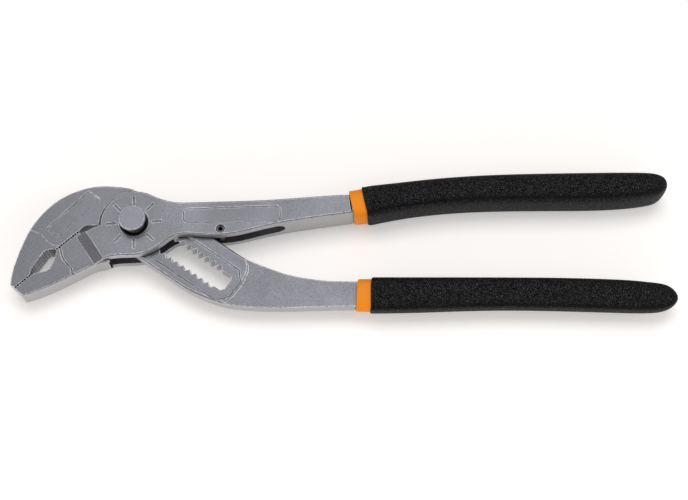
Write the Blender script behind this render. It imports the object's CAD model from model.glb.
import math
import bmesh
import bpy
from mathutils import Matrix, Vector


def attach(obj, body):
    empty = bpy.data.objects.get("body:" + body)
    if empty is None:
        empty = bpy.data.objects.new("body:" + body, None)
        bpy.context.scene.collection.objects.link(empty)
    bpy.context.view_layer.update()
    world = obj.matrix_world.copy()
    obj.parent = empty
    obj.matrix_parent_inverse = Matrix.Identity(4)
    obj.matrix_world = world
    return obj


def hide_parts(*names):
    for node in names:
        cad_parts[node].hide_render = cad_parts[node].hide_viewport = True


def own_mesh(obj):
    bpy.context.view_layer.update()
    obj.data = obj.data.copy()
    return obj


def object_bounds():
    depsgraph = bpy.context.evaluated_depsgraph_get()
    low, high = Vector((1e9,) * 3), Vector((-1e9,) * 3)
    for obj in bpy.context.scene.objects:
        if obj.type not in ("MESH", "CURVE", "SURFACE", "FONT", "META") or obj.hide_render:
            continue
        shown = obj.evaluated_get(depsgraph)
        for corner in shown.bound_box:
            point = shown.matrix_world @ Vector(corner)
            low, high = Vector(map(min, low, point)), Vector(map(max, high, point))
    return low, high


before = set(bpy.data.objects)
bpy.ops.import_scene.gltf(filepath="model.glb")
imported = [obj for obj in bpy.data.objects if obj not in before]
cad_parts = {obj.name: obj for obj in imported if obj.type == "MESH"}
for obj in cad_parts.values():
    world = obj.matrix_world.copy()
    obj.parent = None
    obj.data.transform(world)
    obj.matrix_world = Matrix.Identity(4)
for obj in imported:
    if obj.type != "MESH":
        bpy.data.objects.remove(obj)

cad_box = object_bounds()

# Camera: looks down at the joint from the handles' near side, 70 degrees above the table, as the
# photograph does. A long lens keeps the two handles nearly parallel.
camera_tilt = 20.0
camera_data = bpy.data.cameras.new("camera")
camera_data.sensor_width = 36.0
camera_data.lens = 63.26
camera_data.clip_start = 0.01
camera_data.clip_end = 20.0
camera = bpy.data.objects.new("camera", camera_data)
bpy.context.scene.collection.objects.link(camera)
camera.location = (0.076594, -0.160129, 0.423146)
camera.rotation_euler = (math.radians(camera_tilt), 0.0, 0.0)
bpy.context.scene.camera = camera
bpy.context.scene.view_settings.view_transform = "Standard"

# Table: a pale matt top that the pliers lie on. A faint glow, which only the camera and reflections see,
# keeps it white, and it takes the soft shadow of the tool.
table_middle = (0.08, 0.0, 0.0)
table_half = 6.0
table_gap = 0.00005
table_glow = 0.29
table_bm = bmesh.new()
bmesh.ops.create_grid(table_bm, x_segments=2, y_segments=2, size=table_half)
table_height = cad_box[0][2] - table_gap
bmesh.ops.translate(table_bm, verts=table_bm.verts, vec=(table_middle[0], table_middle[1], table_height))
table_mesh = bpy.data.meshes.new("table_top")
table_bm.to_mesh(table_mesh)
table_bm.free()
table_top = bpy.data.objects.new("table_top", table_mesh)
bpy.context.scene.collection.objects.link(table_top)


def new_finish(name):
    """Material with nodes: gives the material, its node tree and its main shader."""
    finish = bpy.data.materials.new(name)
    finish.use_nodes = True
    return finish, finish.node_tree, finish.node_tree.nodes["Principled BSDF"]


def feed(shader, sockets):
    """Gives a shader node's sockets their values, or links them where the value is another's output."""
    for socket, value in sockets.items():
        if isinstance(value, bpy.types.NodeSocket):
            shader.id_data.links.new(value, shader.inputs[socket])
        else:
            shader.inputs[socket].default_value = value


def add(tree, kind, sockets=None, **settings):
    """New shader node of a kind, with its settings made and its sockets fed."""
    shader = tree.nodes.new("ShaderNode" + kind)
    for setting, value in settings.items():
        setattr(shader, setting, value)
    feed(shader, sockets or {})
    return shader


def worked_out(tree, operation, *values):
    """Output of a sum on one or two values."""
    return add(tree, "Math", dict(enumerate(values)), operation=operation).outputs["Value"]


table_paint, tree, matt = new_finish("table_paint")
feed(matt, {"Base Color": (0.93, 0.902, 0.878, 1.0), "Roughness": 0.9, "Specular IOR Level": 0.0})
glow = add(tree, "Emission", {"Color": (1.0, 1.0, 1.0, 1.0), "Strength": table_glow})
no_glow = add(tree, "Emission", {"Strength": 0.0})
ray = add(tree, "LightPath").outputs
seen_or_mirrored = worked_out(tree, "MAXIMUM", ray["Is Camera Ray"], ray["Is Glossy Ray"])
seen_at_all = worked_out(tree, "MAXIMUM", seen_or_mirrored, ray["Is Transmission Ray"])
glow_if_seen = add(tree, "MixShader", {"Fac": seen_at_all, 1: no_glow.outputs["Emission"],
                                       2: glow.outputs["Emission"]})
whole = add(tree, "AddShader", {0: matt.outputs["BSDF"], 1: glow_if_seen.outputs["Shader"]})
feed(tree.nodes["Material Output"], {"Surface": whole.outputs["Shader"]})
table_mesh.materials.append(table_paint)

# Studio: a pale surrounding, one large softbox overhead, one at the right, and two low strips, in front
# and at the left, which put the light lines on the near edges and light the slopes beside the jaws.
world = bpy.data.worlds.new("studio")
bpy.context.scene.world = world
world.use_nodes = True
feed(world.node_tree.nodes["Background"], {"Color": (1.0, 0.95, 0.905, 1.0), "Strength": 0.29})

cool_white = (0.97, 0.985, 1.0)
plain_white = (1.0, 1.0, 1.0)
jaw_middle = (0.02, 0.0, 0.0)


def softbox(name, place, target, size, power, colour):
    """Oblong area lamp at a place, aimed at a point."""
    data = bpy.data.lights.new(name, "AREA")
    data.shape = "RECTANGLE"
    data.size, data.size_y = size
    data.energy = power
    data.color = colour
    lamp = bpy.data.objects.new(name, data)
    bpy.context.scene.collection.objects.link(lamp)
    lamp.location = place
    lamp.rotation_euler = (Vector(target) - Vector(place)).to_track_quat("-Z", "Y").to_euler()


softbox("key_light", (0.1, 0.38, 1.15), table_middle, size=(0.9, 0.6), power=6.5, colour=cool_white)
softbox("right_light", (1.15, -0.2, 0.6), table_middle, size=(0.6, 0.8), power=3.6, colour=cool_white)
softbox("front_strip", (0.2, -1.0, 0.34), table_middle, size=(2.2, 0.3), power=4.4, colour=plain_white)
softbox("left_strip", (-1.0, -0.3, 0.22), jaw_middle, size=(0.7, 0.36), power=3.4, colour=cool_white)

# Box arm and inner arm: drop forged tool steel, blasted to an even satin grey and lightly oiled. Their
# flanks are ground lighter, and use has rubbed edges and teeth bright. They cross in the box joint.
FLOAT, VECTOR = "NodeSocketFloat", "NodeSocketVector"


def new_group(name, inputs, outputs):
    """Shader group with number inputs: gives the group, its input sockets and its output node."""
    group = bpy.data.node_groups.new(name, "ShaderNodeTree")
    for label, value in inputs.items():
        group.interface.new_socket(label, in_out="INPUT", socket_type=FLOAT).default_value = value
    for label, kind in outputs.items():
        group.interface.new_socket(label, in_out="OUTPUT", socket_type=kind)
    return group, group.nodes.new("NodeGroupInput").outputs, group.nodes.new("NodeGroupOutput")


def ramp(tree, value, start, end, low=0.0, high=1.0):
    """Output that goes from low to high while the value goes from start to end, and stays there."""
    sockets = {"Value": value, "From Min": start, "From Max": end, "To Min": low, "To Max": high}
    return add(tree, "MapRange", sockets).outputs["Result"]


def mix_colour(tree, share, first, second):
    """Colour output that goes from the first to the second with the share."""
    return add(tree, "Mix", {"Factor": share, "A": first, "B": second}, data_type="RGBA").outputs["Result"]


# Edge wear gives a mask that is 1 along sharp edges and 0 on flat faces, broken up by a fine noise, a
# second mask that is 1 deep in narrow gaps, where oil and dust stay, and a normal that rounds the edges.
edge_wear, worn_by, wear_out = new_group(
    "edge_wear", {"Width": 0.0004, "Break": 900.0, "Reach": 0.0008},
    {"Mask": FLOAT, "Crevice": FLOAT, "Normal": VECTOR})
fine_share = 0.3
wide_round = add(edge_wear, "Bevel", {"Radius": worn_by["Width"]}, samples=4)
fine_radius = worked_out(edge_wear, "MULTIPLY", worn_by["Width"], fine_share)
fine_round = add(edge_wear, "Bevel", {"Radius": fine_radius}, samples=4)
true_normal = add(edge_wear, "NewGeometry").outputs["Normal"]
likeness = add(edge_wear, "VectorMath", {0: wide_round.outputs["Normal"], 1: true_normal},
               operation="DOT_PRODUCT").outputs["Value"]
place = add(edge_wear, "TexCoord").outputs["Object"]
speck = add(edge_wear, "TexNoise", {"Vector": place, "Scale": worn_by["Break"], "Detail": 3.0})
edges = ramp(edge_wear, likeness, start=0.995, end=0.965)
unbroken = ramp(edge_wear, speck.outputs["Fac"], start=0.3, end=0.52)
openness = add(edge_wear, "AmbientOcclusion", {"Distance": worn_by["Reach"]}, samples=6)
gaps = ramp(edge_wear, openness.outputs["AO"], start=0.9, end=0.45)
feed(wear_out, {"Mask": worked_out(edge_wear, "MULTIPLY", edges, unbroken), "Crevice": gaps,
                "Normal": fine_round.outputs["Normal"]})

# Blasted gives the fine even pitting of a blasted or moulded face, and the slow cloudiness under it.
blasted, blast, blasted_out = new_group(
    "blasted", {"Grain": 2600.0, "Cloud": 60.0}, {"Height": FLOAT, "Cloudy": FLOAT})
place = add(blasted, "TexCoord").outputs["Object"]
pits = add(blasted, "TexNoise",
           {"Vector": place, "Scale": blast["Grain"], "Detail": 2.0, "Roughness": 0.6})
cloud = add(blasted, "TexNoise",
            {"Vector": place, "Scale": blast["Cloud"], "Detail": 4.0, "Roughness": 0.55})
feed(blasted_out, {"Height": pits.outputs["Fac"], "Cloudy": cloud.outputs["Fac"]})


def blasted_face(tree, grain):
    """Height and cloudiness outputs of a blasted face with a grain of its own."""
    face = add(tree, "Group", {"Grain": grain}, node_tree=blasted).outputs
    return face["Height"], face["Cloudy"]


def levelness(tree):
    """Output that is 1 on level faces, whether they look up or down, and 0 on upright ones."""
    normal = add(tree, "NewGeometry").outputs["Normal"]
    upwards = add(tree, "SeparateXYZ", {"Vector": normal}).outputs["Z"]
    return worked_out(tree, "ABSOLUTE", upwards)


old_oil = (0.02, 0.019, 0.018, 1.0)


def steel_finish(name, dark, light, worn, ground, ground_share, rough_low, rough_high, edge, grain,
                 pit_depth, oil_reach=0.0008):
    """Steel with cloudy tone and fine grain, ground flanks, worn edges and oil in its gaps."""
    finish, tree, steel = new_finish(name)
    height, cloudy = blasted_face(tree, grain)
    wear = add(tree, "Group", {"Width": edge, "Reach": oil_reach}, node_tree=edge_wear).outputs
    mottle = add(tree, "Mix", {"Factor": 0.75, "A": cloudy, "B": height}).outputs["Result"]
    blasted_tone = mix_colour(tree, ramp(tree, mottle, start=0.34, end=0.66), dark, light)
    flank = ramp(tree, levelness(tree), start=0.6, end=0.2, high=ground_share)
    ground_tone = mix_colour(tree, flank, blasted_tone, ground)
    rubbed = mix_colour(tree, wear["Mask"], ground_tone, worn)
    oiled = mix_colour(tree, wear["Crevice"], rubbed, old_oil)
    bump = add(tree, "Bump", {"Strength": 0.35, "Distance": pit_depth, "Height": height,
                              "Normal": wear["Normal"]})
    feed(steel, {"Metallic": 0.75, "Base Color": oiled, "Normal": bump.outputs["Normal"],
                 "Roughness": ramp(tree, cloudy, start=0.3, end=0.7, low=rough_low, high=rough_high)})
    return finish


def dress(node, finish):
    """Gives a CAD node its finish."""
    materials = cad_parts[node].data.materials
    materials.clear()
    materials.append(finish)


arm_steel = steel_finish(
    "arm_steel", dark=(0.122, 0.124, 0.138, 1.0), light=(0.212, 0.214, 0.235, 1.0),
    worn=(0.82, 0.82, 0.85, 1.0), ground=(0.5, 0.495, 0.5, 1.0), ground_share=0.8,
    rough_low=0.36, rough_high=0.5, edge=0.00034, grain=2300.0, pit_depth=0.00005)
dress("box_arm", arm_steel)
dress("inner_arm", arm_steel)

# Joint pin and push button: turned and hardened steel, closer grained than the forgings. The button is
# fixed on the front end of the pin, so the two move as one when it is pressed.
pin_steel = steel_finish(
    "pin_steel", dark=(0.15, 0.152, 0.17, 1.0), light=(0.215, 0.217, 0.237, 1.0),
    worn=(0.8, 0.8, 0.83, 1.0), ground=(0.3, 0.3, 0.31, 1.0), ground_share=0.3,
    rough_low=0.36, rough_high=0.46, edge=0.0003, grain=2600.0, pit_depth=0.00003)
dress("joint_pin", pin_steel)
dress("push_button", pin_steel)

# Guide bush: turned steel left a lighter grey, held behind the step in the front cheek's bore. Its round
# pocket holds the spring, and oil stays in it.
bush_steel = steel_finish(
    "bush_steel", dark=(0.36, 0.363, 0.385, 1.0), light=(0.5, 0.503, 0.53, 1.0),
    worn=(0.8, 0.8, 0.82, 1.0), ground=(0.4, 0.4, 0.41, 1.0), ground_share=0.3,
    rough_low=0.45, rough_high=0.6, edge=0.0002, grain=2600.0, pit_depth=0.00003, oil_reach=0.0035)
dress("guide_bush", bush_steel)

# Stop pin: slit spring pin, rolled from dark oiled spring steel. It is driven into a hole across the slot
# of the box joint, where its own spring holds it.
spring_steel = steel_finish(
    "spring_steel", dark=(0.04, 0.04, 0.042, 1.0), light=(0.09, 0.09, 0.094, 1.0),
    worn=(0.16, 0.16, 0.165, 1.0), ground=(0.08, 0.08, 0.083, 1.0), ground_share=0.3,
    rough_low=0.3, rough_high=0.45, edge=0.00012, grain=5200.0, pit_depth=0.00002)
dress("stop_pin", spring_steel)

# Return spring: a coil of round spring wire with closed ends, wound from the same dark steel. It stands in
# the bush's pocket, lifts the button, and shortens as the button is pressed. Its sizes are in millimetres.
mm = 0.001
wire_radius = 0.4
wire_sides = 12
coil_radius = 3.5
steps_a_turn = 40
coil_runs = ((0.8, 0.82), (1.4, 2.96), (0.8, 0.82))  # turns and rise: closed end, open middle, closed end
pocket_floor = 10.9
coil_low = pocket_floor + wire_radius
bm = bmesh.new()
wire = bmesh.ops.create_circle(bm, cap_ends=False, radius=wire_radius * mm, segments=wire_sides)["verts"]
bmesh.ops.rotate(bm, verts=wire, cent=(0, 0, 0), matrix=Matrix.Rotation(math.radians(90), 3, "X"))
bmesh.ops.translate(bm, verts=wire, vec=(coil_radius * mm, 0, coil_low * mm))
first_end = list(bm.edges)
last_end = first_end
for turns, rise in coil_runs:
    steps = round(turns * steps_a_turn)
    wound = bmesh.ops.spin(bm, geom=last_end, cent=(0, 0, 0), axis=(0, 0, 1), dvec=(0, 0, rise * mm / steps),
                           angle=math.radians(360 * turns), steps=steps, use_merge=False)
    last_end = [part for part in wound["geom_last"] if isinstance(part, bmesh.types.BMEdge)]
bmesh.ops.contextual_create(bm, geom=first_end)
bmesh.ops.contextual_create(bm, geom=last_end)
bmesh.ops.recalc_face_normals(bm, faces=bm.faces)
for face in bm.faces:
    face.smooth = len(face.verts) == 4
spring_mesh = bpy.data.meshes.new("button_spring")
bm.to_mesh(spring_mesh)
bm.free()
spring_mesh.materials.append(spring_steel)
button_spring = bpy.data.objects.new("button_spring", spring_mesh)
bpy.context.scene.collection.objects.link(button_spring)
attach(button_spring, "carrier")
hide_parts("return_spring")
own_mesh(button_spring)

# Upper handle grip: two coats of soft plastic, sizes in millimetres. The steel tail is dipped first in
# orange and then, a little shorter, in black, whose skin is finely pebbled. Each coat is a hollow sleeve,
# closed and rounded at the handle's end, with an uneven lip at its mouth.
upper_line = [  # along the handle, middle across it, half width, half depth, squareness
    (79.5, 8.25, 5.95, 7.62, 3.6), (84.3, 8.9, 6.1, 7.7, 3.6), (87.0, 9.3, 6.16, 7.75, 3.6),
    (91.5, 10.0, 6.0, 7.75, 3.6), (97.5, 10.95, 5.84, 7.75, 3.5), (104.9, 12.0, 5.72, 7.75, 3.5),
    (114.3, 13.0, 5.7, 7.75, 3.5), (123.6, 13.68, 5.7, 7.75, 3.5), (134.8, 14.17, 5.82, 7.75, 3.5),
    (146.0, 14.38, 5.92, 7.75, 3.5), (157.3, 14.5, 6.02, 7.75, 3.5), (168.5, 14.62, 6.07, 7.75, 3.5),
    (177.8, 14.87, 5.93, 7.75, 3.5), (185.3, 15.22, 5.58, 7.7, 3.4), (189.5, 15.5, 5.15, 7.6, 3.4),
    (192.5, 15.62, 4.6, 7.55, 3.4), (194.9, 15.7, 3.3, 7.3, 3.2), (196.1, 15.9, 2.0, 5.4, 2.6),
    (196.6, 16.0, 0.9, 3.4, 2.2),
]
ring_sides = 28
joint_middle = 6.25  # half the thickness of the joint, where both tails lie
upper_lean = (0.19, 0.06)  # how far the mouth's ring leans back, across and up
orange_inset, orange_wall = 0.6, 0.85
black_inset, black_wall = 0.0, 0.55
lean_run = 14.0  # from the mouth to where the rings stand square
skin_start = 2.2  # from the mouth to the first ring that follows the line
end_wall = 4.0
skin_ripple = 0.05
lip_ripples, lip_turn = 3, 0.8
throat_rows = ((1.4, 0.0), (0.3, 0.1))  # past the mouth, ripple
lip_rows = (  # past the mouth, in from the skin, ripple
    (0.0, 0.45, 0.12), (0.12, 0.12, 0.12), (0.5, 0.0, 0.1), (1.5, 0.0, 0.08),
)
shoulder_level = 0.7


def dipped_finish(name, low, high, pebble, pebble_share, shine, rough_low, rough_high, grain, pebble_height,
                  bump_strength):
    """Soft dipped plastic: the tops of its pebbles are light, and less so on the grip's shoulders."""
    finish, tree, plastic = new_finish(name)
    height, cloudy = blasted_face(tree, grain)
    tone = mix_colour(tree, cloudy, low, high)
    tops = ramp(tree, height, start=0.57, end=0.68, high=pebble_share)
    past_shoulder = worked_out(tree, "SUBTRACT", levelness(tree), shoulder_level)
    off_shoulder = worked_out(tree, "ABSOLUTE", past_shoulder)
    lightness = ramp(tree, off_shoulder, start=0.06, end=0.28, low=0.3)
    pebbled = mix_colour(tree, worked_out(tree, "MULTIPLY", tops, lightness), tone, pebble)
    bump = add(tree, "Bump", {"Strength": bump_strength, "Distance": pebble_height, "Height": height})
    feed(plastic, {"IOR": 1.48, "Specular IOR Level": shine, "Base Color": pebbled,
                   "Roughness": ramp(tree, height, start=0.3, end=0.7, low=rough_low, high=rough_high),
                   "Normal": bump.outputs["Normal"]})
    return finish


def ring_across(bm, x, y, half_width, half_depth, squareness, lean, ripple):
    """Closed ring round the handle's line: a softened rectangle, leaning and rippled as a dipped lip is."""
    ring = bmesh.ops.create_circle(bm, cap_ends=False, radius=1.0, segments=ring_sides)["verts"]
    bmesh.ops.rotate(bm, verts=ring, cent=(0, 0, 0), matrix=Matrix.Rotation(math.radians(90), 3, "Y"))
    for v in ring:
        turn = math.atan2(v.co.z, v.co.y)
        across = math.copysign(abs(math.cos(turn)) ** (2 / squareness), math.cos(turn)) * half_width
        up = math.copysign(abs(math.sin(turn)) ** (2 / squareness), math.sin(turn)) * half_depth
        along = x - lean[0] * across - lean[1] * up + ripple * math.sin(lip_ripples * turn + lip_turn)
        v.co = (along * mm, (y + across) * mm, (joint_middle + up) * mm)
    return list({edge for v in ring for edge in v.link_edges})


def coat(name, line, mouth, lean, inset, wall, throat, body, node, finish):
    """Hollow sleeve of one dip: inner wall, lip and outer skin are one run of rings, closed at its ends.

    The throat is the ring round the steel inside the mouth: its middle, half width, half depth, squareness.
    """
    tip = line[-1][0]
    outer, inner = [], []
    for x, y, half_width, half_depth, squareness in line:
        if x > mouth + skin_start:
            fade = max(0.0, (mouth + lean_run - x) / lean_run)
            leaning = (lean[0] * fade, lean[1] * fade)
            along = min(x, tip - inset)
            skin_width = half_width - inset * min(1.0, half_width)
            outer.append((along, y, skin_width, half_depth - inset, squareness, leaning, skin_ripple * fade))
            if x < tip - end_wall:
                inner.append((along, y, half_width - inset - wall, half_depth - inset - wall, squareness,
                              leaning, 0.0))
    y, half_width, half_depth, squareness = next(row[1:] for row in line if row[0] >= mouth)
    lip = [(mouth + past, *throat, lean, ripple) for past, ripple in throat_rows]
    lip += [(mouth + past, y, half_width - inset - thin, half_depth - inset - thin, squareness, lean, ripple)
            for past, thin, ripple in lip_rows]
    bm = bmesh.new()
    rings = [ring_across(bm, *row) for row in inner[::-1] + lip + outer]
    for ring, next_ring in zip(rings, rings[1:]):
        bmesh.ops.bridge_loops(bm, edges=ring + next_ring)
    bmesh.ops.contextual_create(bm, geom=rings[0])
    bmesh.ops.contextual_create(bm, geom=rings[-1])
    bmesh.ops.recalc_face_normals(bm, faces=bm.faces)
    for face in bm.faces:
        face.smooth = True
    mesh = bpy.data.meshes.new(name)
    bm.to_mesh(mesh)
    bm.free()
    mesh.materials.append(finish)
    sleeve = bpy.data.objects.new(name, mesh)
    bpy.context.scene.collection.objects.link(sleeve)
    smooth = sleeve.modifiers.new("smooth", "SUBSURF")
    smooth.levels = smooth.render_levels = 2
    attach(sleeve, body)
    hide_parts(node)


orange_dip = dipped_finish(
    "orange_dip", low=(0.91, 0.258, 0.008, 1.0), high=(0.96, 0.3, 0.012, 1.0),
    pebble=(0.97, 0.33, 0.02, 1.0), pebble_share=0.4, shine=0.2, rough_low=0.42, rough_high=0.55,
    grain=1500.0, pebble_height=0.00004, bump_strength=0.2)
black_dip = dipped_finish(
    "black_dip", low=(0.001, 0.001, 0.0012, 1.0), high=(0.0025, 0.0024, 0.003, 1.0),
    pebble=(0.15, 0.147, 0.16, 1.0), pebble_share=1.0, shine=0.07, rough_low=0.38, rough_high=0.54,
    grain=4500.0, pebble_height=0.00017, bump_strength=1.0)
coat("upper_handle_undercoat", upper_line, mouth=79.5, lean=upper_lean, inset=orange_inset,
     wall=orange_wall, throat=(7.75, 3.64, 6.3, 9.0), body="box_arm", node="upper_liner",
     finish=orange_dip)
coat("upper_handle_grip", upper_line, mouth=84.3, lean=upper_lean, inset=black_inset,
     wall=black_wall, throat=(8.9, 5.45, 7.05, 3.6), body="box_arm", node="upper_grip",
     finish=black_dip)

# Lower handle grip: the same two coats of soft plastic, dipped over the tail of the inner arm, a bar that
# is less than half as deep. Its mouths lean the other way.
lower_line = [  # along the handle, middle across it, half width, half depth, squareness
    (81.2, -25.9, 6.5, 4.0, 3.4), (86.3, -25.9, 6.52, 4.1, 3.4), (89.0, -25.9, 6.5, 4.15, 3.4),
    (93.2, -25.88, 6.48, 4.15, 3.4), (102.3, -25.78, 6.37, 4.15, 3.4), (111.4, -25.63, 6.22, 4.15, 3.4),
    (122.2, -25.44, 6.01, 4.15, 3.4), (133.1, -25.34, 5.88, 4.15, 3.4), (144.0, -25.42, 5.89, 4.15, 3.4),
    (154.8, -25.57, 5.97, 4.15, 3.4), (165.6, -25.87, 5.98, 4.15, 3.4), (174.7, -26.17, 5.98, 4.15, 3.3),
    (181.9, -26.5, 5.86, 4.15, 3.3), (186.6, -26.77, 5.6, 4.1, 3.1), (190.2, -26.85, 5.35, 3.95, 3.0),
    (193.1, -26.75, 4.7, 3.7, 2.8), (195.3, -26.8, 3.45, 3.25, 2.6), (196.7, -26.9, 1.9, 2.2, 2.3),
    (197.2, -26.9, 0.8, 1.2, 2.0),
]
coat("lower_handle_undercoat", lower_line, mouth=81.2, lean=(-0.06, 0.02), inset=orange_inset,
     wall=orange_wall, throat=(-26.1, 4.75, 2.68, 9.0), body="inner_arm", node="lower_liner",
     finish=orange_dip)
coat("lower_handle_grip", lower_line, mouth=86.3, lean=(-0.04, 0.02), inset=black_inset,
     wall=black_wall, throat=(-25.9, 5.85, 3.45, 3.4), body="inner_arm", node="lower_grip",
     finish=black_dip)
